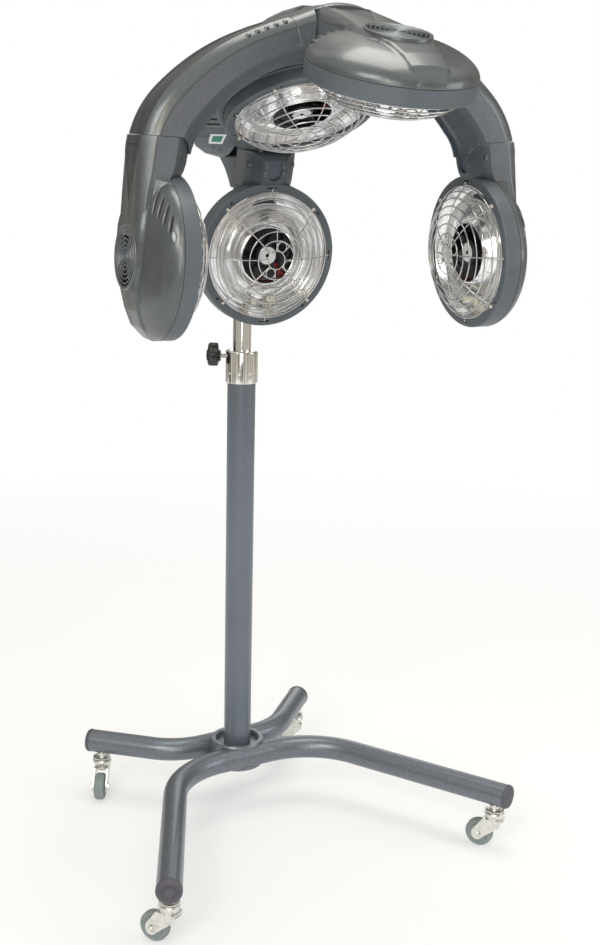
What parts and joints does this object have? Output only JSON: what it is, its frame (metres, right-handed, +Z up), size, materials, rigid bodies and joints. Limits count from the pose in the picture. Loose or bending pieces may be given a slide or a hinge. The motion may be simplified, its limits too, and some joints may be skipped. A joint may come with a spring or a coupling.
{
  "type": "hood hair dryer",
  "caption": "Open-hood hair dryer on casters: infrared-and-fan heads hang from a hinged arch on a telescopic chrome pole with a splayed tube base.",
  "frame": {"origin": "on the floor, on the axis of the telescopic pole", "axes": "+Z up, -Y towards the side the client sits on, +X to the right of someone standing behind the machine facing the client"},
  "size_m": [0.7104, 0.8375, 1.424],
  "materials": {
    "leg_paint": "hammer-tone semi-gloss",
    "column_paint": "semi-gloss",
    "dark_plastic": "matte",
    "chrome": "polished",
    "zinc_steel": "zinc plated",
    "black_plastic": "satin",
    "nylon": "satin",
    "wheel_rubber": "matte",
    "slate_plastic": "fine texture",
    "graphite_gloss": "metallic gloss",
    "board": "satin",
    "bright_aluminium": "polished",
    "quartz": "frosted",
    "guard_wire": "bright wire"
  },
  "bodies": {
    "stand": {"base_hub": "leg_paint", "front_leg_tube": "leg_paint", "rear_leg_tube": "leg_paint", "leg_end_caps": "dark_plastic", "column_tube": "column_paint", "column_collar": "chrome", "collar_grub_screws": "zinc_steel", "pole_guide_bush": "dark_plastic", "caster_sockets": "zinc_steel"},
    "fork_front_left": {"caster_fork_front_left": "zinc_steel"},
    "wheel_front_left": {"caster_wheel_front_left": "wheel_rubber"},
    "fork_front_right": {"caster_fork_front_right": "zinc_steel"},
    "wheel_front_right": {"caster_wheel_front_right": "wheel_rubber"},
    "fork_rear_left": {"caster_fork_rear_left": "zinc_steel"},
    "wheel_rear_left": {"caster_wheel_rear_left": "wheel_rubber"},
    "fork_rear_right": {"caster_fork_rear_right": "zinc_steel"},
    "wheel_rear_right": {"caster_wheel_rear_right": "wheel_rubber"},
    "clamp_slide": {"clamp_pad": "nylon"},
    "clamp_screw": {"clamp_knob": "black_plastic"},
    "mast": {"telescopic_pole": "chrome"},
    "head_frame": {"mast_socket": "slate_plastic", "control_housing": "slate_plastic", "arch_shell": "graphite_gloss", "arch_liner": "slate_plastic", "elbow_pins": "zinc_steel", "control_panel": "slate_plastic", "mains_inlet": "black_plastic", "circuit_board": "board", "crown_casing": "graphite_gloss", "crown_bezel": "slate_plastic", "crown_reflector": "bright_aluminium", "crown_lamp": "quartz", "crown_guard": "guard_wire"},
    "timer_dial": {"timer_dial": "black_plastic"},
    "heat_dial": {"heat_dial": "black_plastic"},
    "left_arm": {"left_arm_casing": "graphite_gloss", "left_bezel": "slate_plastic", "left_reflector": "bright_aluminium", "left_lamp": "quartz", "left_guard": "guard_wire"},
    "right_arm": {"right_arm_casing": "graphite_gloss", "right_bezel": "slate_plastic", "right_reflector": "bright_aluminium", "right_lamp": "quartz", "right_guard": "guard_wire"},
    "front_arm": {"front_arm_casing": "graphite_gloss", "front_bezel": "slate_plastic", "front_reflector": "bright_aluminium", "front_lamp": "quartz", "front_guard": "guard_wire"},
    "back_arm": {"back_arm_casing": "graphite_gloss", "back_bezel": "slate_plastic", "back_reflector": "bright_aluminium", "back_lamp": "quartz", "back_guard": "guard_wire"},
    "left_fan": {"left_fan": "black_plastic"},
    "right_fan": {"right_fan": "black_plastic"},
    "front_fan": {"front_fan": "black_plastic"},
    "back_fan": {"back_fan": "black_plastic"},
    "crown_fan": {"crown_fan": "black_plastic"}
  },
  "joints": [
    {"name": "swivel_front_left", "type": "hinge", "parent": "stand", "child": "fork_front_left", "pos_m": [-0.28007, -0.40841, 0.0726], "axis": [0, 0, 1], "continuous": true},
    {"name": "roll_front_left", "type": "hinge", "parent": "fork_front_left", "child": "wheel_front_left", "pos_m": [-0.29636, -0.38814, 0.025], "axis": [-0.7793, -0.6266, 0], "continuous": true},
    {"name": "swivel_front_right", "type": "hinge", "parent": "stand", "child": "fork_front_right", "pos_m": [0.35647, -0.34375, 0.0726], "axis": [0, 0, 1], "continuous": true},
    {"name": "roll_front_right", "type": "hinge", "parent": "fork_front_right", "child": "wheel_front_right", "pos_m": [0.34018, -0.32349, 0.025], "axis": [-0.7793, -0.6266, 0], "continuous": true},
    {"name": "swivel_rear_left", "type": "hinge", "parent": "stand", "child": "fork_rear_left", "pos_m": [-0.2264, 0.12537, 0.0726], "axis": [0, 0, 1], "continuous": true},
    {"name": "roll_rear_left", "type": "hinge", "parent": "fork_rear_left", "child": "wheel_rear_left", "pos_m": [-0.23788, 0.10204, 0.025], "axis": [0.8973, -0.4415, 0], "continuous": true},
    {"name": "swivel_rear_right", "type": "hinge", "parent": "stand", "child": "fork_rear_right", "pos_m": [0.19657, 0.16833, 0.0726], "axis": [0, 0, 1], "continuous": true},
    {"name": "roll_rear_right", "type": "hinge", "parent": "fork_rear_right", "child": "wheel_rear_right", "pos_m": [0.17285, 0.17899, 0.025], "axis": [-0.4099, -0.9121, 0], "continuous": true},
    {"name": "clamp_travel", "type": "slide", "parent": "stand", "child": "clamp_slide", "axis": [-0.9063, 0.4226, 0], "range_m": [0, 0.003]},
    {"name": "clamp_turn", "type": "hinge", "parent": "clamp_slide", "child": "clamp_screw", "pos_m": [-0.02719, 0.01268, 0.8545], "axis": [-0.9063, 0.4226, 0], "range_deg": [0, 720]},
    {"name": "height_adjustment", "type": "slide", "parent": "stand", "child": "mast", "axis": [0, 0, 1], "range_m": [0, 0.35]},
    {"name": "frame_turn", "type": "hinge", "parent": "mast", "child": "head_frame", "pos_m": [0, 0, 1.2], "axis": [0, 0, 1], "range_deg": [-170, 170]},
    {"name": "timer_turn", "type": "hinge", "parent": "head_frame", "child": "timer_dial", "pos_m": [-0.017, 0.091, 1.3], "axis": [0, -1, 0], "range_deg": [0, 300]},
    {"name": "heat_turn", "type": "hinge", "parent": "head_frame", "child": "heat_dial", "pos_m": [0.017, 0.091, 1.3], "axis": [0, -1, 0], "range_deg": [0, 270]},
    {"name": "left_arm_swing", "type": "hinge", "parent": "head_frame", "child": "left_arm", "pos_m": [-0.25278, -0.33, 1.20934], "axis": [0, -1, 0], "range_deg": [0, 20]},
    {"name": "right_arm_swing", "type": "hinge", "parent": "head_frame", "child": "right_arm", "pos_m": [0.25278, -0.33, 1.20934], "axis": [0, 1, 0], "range_deg": [0, 20]},
    {"name": "front_arm_swing", "type": "hinge", "parent": "head_frame", "child": "front_arm", "pos_m": [0, -0.3744, 1.36077], "axis": [1, 0, 0], "range_deg": [0, 18]},
    {"name": "back_arm_swing", "type": "hinge", "parent": "head_frame", "child": "back_arm", "pos_m": [0, -0.1118, 1.18823], "axis": [-1, 0, 0], "range_deg": [0, 18]},
    {"name": "left_fan_spin", "type": "hinge", "parent": "left_arm", "child": "left_fan", "pos_m": [-0.26178, -0.33, 1.06161], "axis": [-0.9985, 0, 0.0541], "continuous": true},
    {"name": "right_fan_spin", "type": "hinge", "parent": "right_arm", "child": "right_fan", "pos_m": [0.26178, -0.33, 1.06161], "axis": [0.9985, 0, 0.0541], "continuous": true},
    {"name": "front_fan_spin", "type": "hinge", "parent": "front_arm", "child": "front_fan", "pos_m": [0, -0.51708, 1.32143], "axis": [0, -0.2723, 0.9622], "continuous": true},
    {"name": "back_fan_spin", "type": "hinge", "parent": "back_arm", "child": "back_fan", "pos_m": [0, -0.0938, 1.04132], "axis": [0, 0.9934, 0.1149], "continuous": true},
    {"name": "crown_fan_spin", "type": "hinge", "parent": "head_frame", "child": "crown_fan", "pos_m": [0, -0.2246, 1.27902], "axis": [0, 0.4602, 0.8878], "continuous": true}
  ],
  "couplings": [
    {"joint": "clamp_turn", "follows": "clamp_travel", "rad_per_m": 4188.8}
  ]
}
